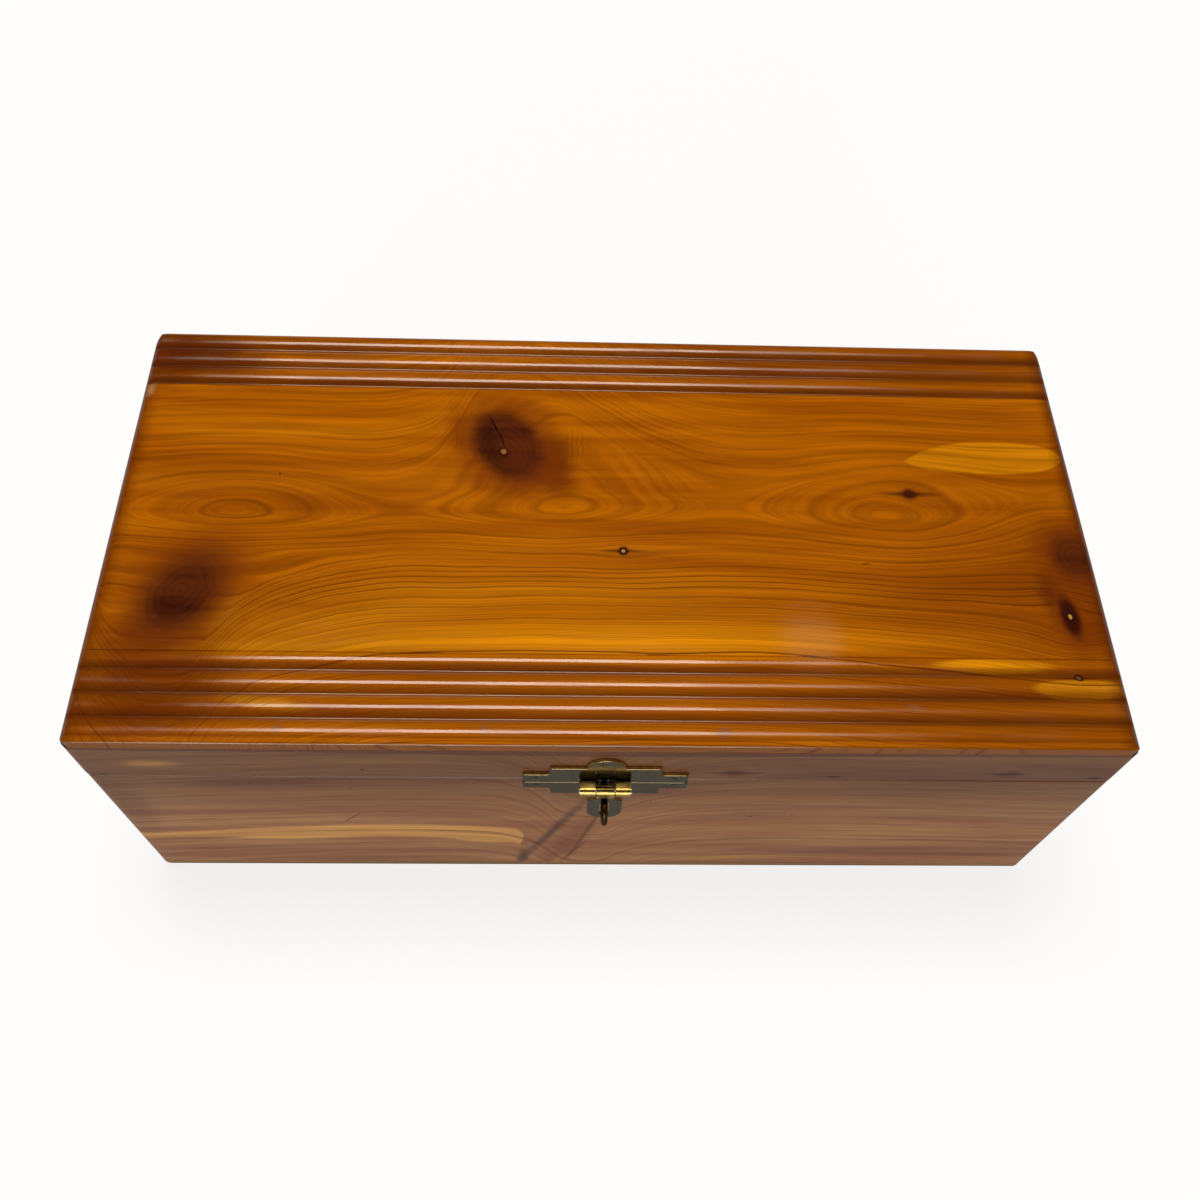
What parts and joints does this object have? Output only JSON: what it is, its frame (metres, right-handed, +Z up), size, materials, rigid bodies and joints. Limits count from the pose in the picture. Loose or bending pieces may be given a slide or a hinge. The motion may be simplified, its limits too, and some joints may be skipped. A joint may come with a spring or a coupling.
{
  "type": "hinged keepsake box",
  "caption": "Rectangular cedar box with a reeded hinged lid, plain sides and a small stepped brass hasp and staple at the front.",
  "frame": {"origin": "centre of the flat underside of the bottom panel", "axes": "+Z up, -Y to the front with the hasp, +X to the right along the box's length"},
  "size_m": [0.3082, 0.1632, 0.1086],
  "materials": {
    "cedar_varnished": "gloss varnish",
    "cedar_box": "gloss varnish outside, bare inside",
    "bottom_ply": "sanded",
    "antique_brass": "lacquered antique",
    "bright_brass": "polished",
    "bronzed_wire": "bronzed",
    "steel_pin": "plain"
  },
  "bodies": {
    "box": {"box_front": "cedar_box", "box_back": "cedar_box", "box_left": "cedar_box", "box_right": "cedar_box", "box_bottom": "bottom_ply", "bottom_nails": "steel_pin", "hinge_left_box_leaf": "bright_brass", "hinge_right_box_leaf": "bright_brass", "hinge_left_pin": "bright_brass", "hinge_right_pin": "bright_brass", "hinge_box_screws": "bright_brass", "clasp_lower_plate": "antique_brass", "clasp_lower_pins": "antique_brass", "clasp_staple": "bronzed_wire"},
    "lid": {"lid_top": "cedar_varnished", "lid_front_rail": "cedar_box", "lid_back_rail": "cedar_box", "lid_left_rail": "cedar_box", "lid_right_rail": "cedar_box", "hinge_left_lid_leaf": "bright_brass", "hinge_right_lid_leaf": "bright_brass", "hinge_lid_screws": "bright_brass", "clasp_upper_plate": "antique_brass", "clasp_upper_pins": "antique_brass", "clasp_hinge_pin": "steel_pin"},
    "tongue": {"clasp_tongue": "antique_brass"}
  },
  "joints": [
    {"name": "lid_hinge", "type": "hinge", "parent": "box", "child": "lid", "pos_m": [0, 0.0736, 0.0824], "axis": [-1, 0, 0], "range_deg": [0, 98]},
    {"name": "tongue_hinge", "type": "hinge", "parent": "lid", "child": "tongue", "pos_m": [0, -0.08, 0.0826], "axis": [-1, 0, 0], "range_deg": [0, 170]}
  ]
}
